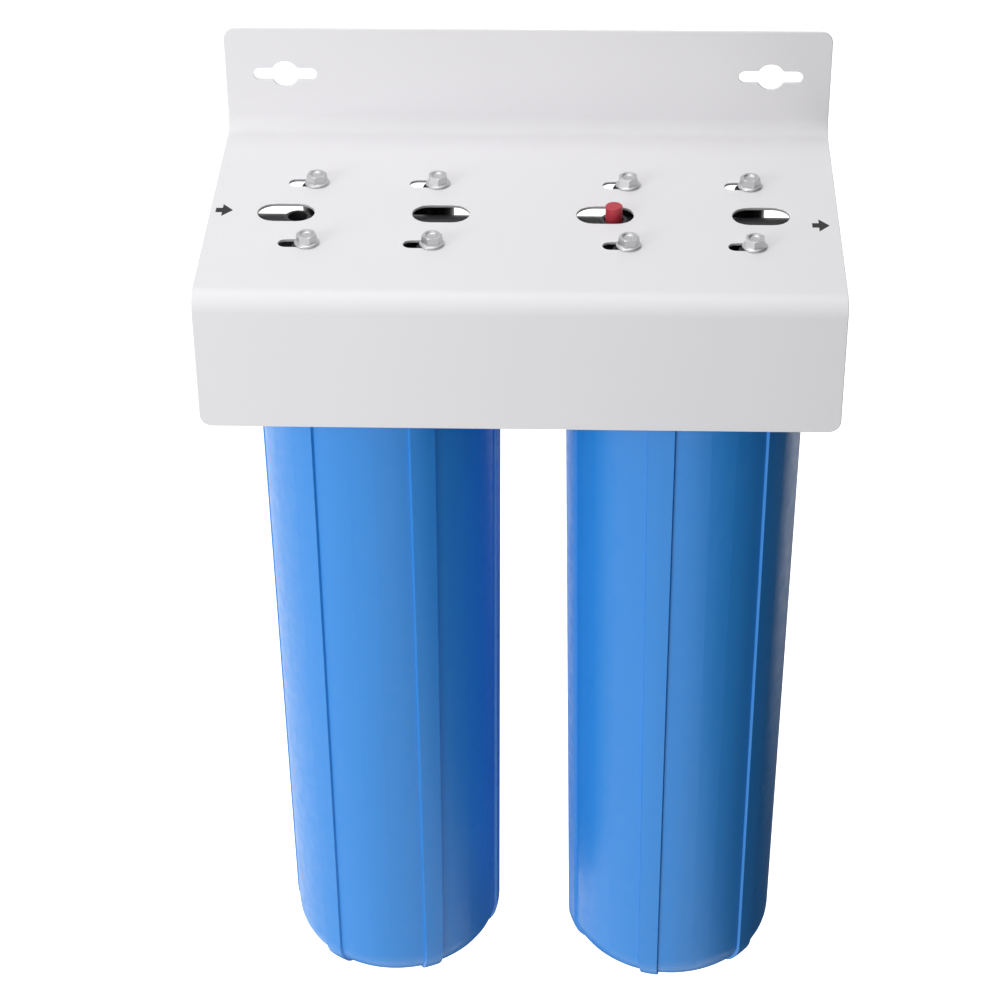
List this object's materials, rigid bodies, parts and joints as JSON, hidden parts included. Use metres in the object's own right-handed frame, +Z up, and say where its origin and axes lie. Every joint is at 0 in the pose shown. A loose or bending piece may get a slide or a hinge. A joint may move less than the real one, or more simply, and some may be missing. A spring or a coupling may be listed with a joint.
{
  "type": "whole house water filter",
  "caption": "Wall-hung water filter: folded white bracket, black caps, relief button, and long ribbed blue sumps that unscrew to reach their cartridges.",
  "frame": {"origin": "on the bracket's wall face, midway between its two keyholes", "axes": "+Z up, +Y into the wall, +X along the water's way from the inlet to the outlet"},
  "size_m": [0.4, 0.223, 0.6775],
  "materials": {
    "white_powder_coat": "white powder coat, satin",
    "black_plastic": "moulded black polypropylene, satin",
    "blue_plastic": "moulded blue polypropylene, semi-gloss",
    "red_plastic": "moulded red plastic, satin",
    "zinc_steel": "bright zinc plate",
    "stainless_steel": "drawn stainless steel",
    "brass": "turned brass",
    "seal_rubber": "greased black nitrile rubber",
    "gasket_foam": "closed-cell foam",
    "filter_media": "blown polypropylene fibre",
    "core_plastic": "moulded white polypropylene",
    "carbon": "pressed carbon block, dull",
    "netting": "plastic netting over white wrap"
  },
  "bodies": {
    "bracket_and_heads": {"bracket": "white_powder_coat", "head_1": "black_plastic", "head_2": "black_plastic", "connecting_nipple": "brass", "relief_spring": "stainless_steel", "screw_1_back_left": "zinc_steel", "screw_1_back_right": "zinc_steel", "screw_1_front_left": "zinc_steel", "screw_1_front_right": "zinc_steel", "screw_2_back_left": "zinc_steel", "screw_2_back_right": "zinc_steel", "screw_2_front_left": "zinc_steel", "screw_2_front_right": "zinc_steel"},
    "sediment_cartridge": {"sediment_media": "filter_media", "sediment_core": "core_plastic", "sediment_upper_gasket": "gasket_foam", "sediment_lower_gasket": "gasket_foam"},
    "carbon_cartridge": {"carbon_block": "carbon", "carbon_core": "core_plastic", "carbon_netting": "netting", "carbon_upper_cap": "core_plastic", "carbon_lower_cap": "core_plastic", "carbon_upper_gasket": "gasket_foam", "carbon_lower_gasket": "gasket_foam"},
    "first_sump": {"sump_1": "blue_plastic", "sump_o_ring_1": "seal_rubber"},
    "second_sump": {"sump_2": "blue_plastic", "sump_o_ring_2": "seal_rubber"},
    "relief_valve": {"relief_button": "red_plastic", "relief_stem": "stainless_steel", "relief_o_ring": "seal_rubber"}
  },
  "joints": [
    {"name": "sump_1_drop", "type": "slide", "parent": "bracket_and_heads", "child": "sediment_cartridge", "axis": [0, 0, -1], "range_m": [0, 0.0196]},
    {"name": "sump_1_turn", "type": "hinge", "parent": "sediment_cartridge", "child": "first_sump", "pos_m": [-0.0952, -0.117, -0.1272], "axis": [0, 0, -1], "range_deg": [0, 1170]},
    {"name": "sump_2_drop", "type": "slide", "parent": "bracket_and_heads", "child": "carbon_cartridge", "axis": [0, 0, -1], "range_m": [0, 0.0196]},
    {"name": "sump_2_turn", "type": "hinge", "parent": "carbon_cartridge", "child": "second_sump", "pos_m": [0.1062, -0.117, -0.1272], "axis": [0, 0, -1], "range_deg": [0, 1170]},
    {"name": "relief_press", "type": "slide", "parent": "bracket_and_heads", "child": "relief_valve", "axis": [0, 0, -1], "range_m": [0, 0.003], "stiffness_N_per_m": 800, "springref_m": -0.002, "deforming": ["relief_spring"]}
  ],
  "couplings": [
    {"joint": "sump_1_drop", "follows": "sump_1_turn", "m_per_rad": 0.00095493},
    {"joint": "sump_2_drop", "follows": "sump_2_turn", "m_per_rad": 0.00095493}
  ]
}
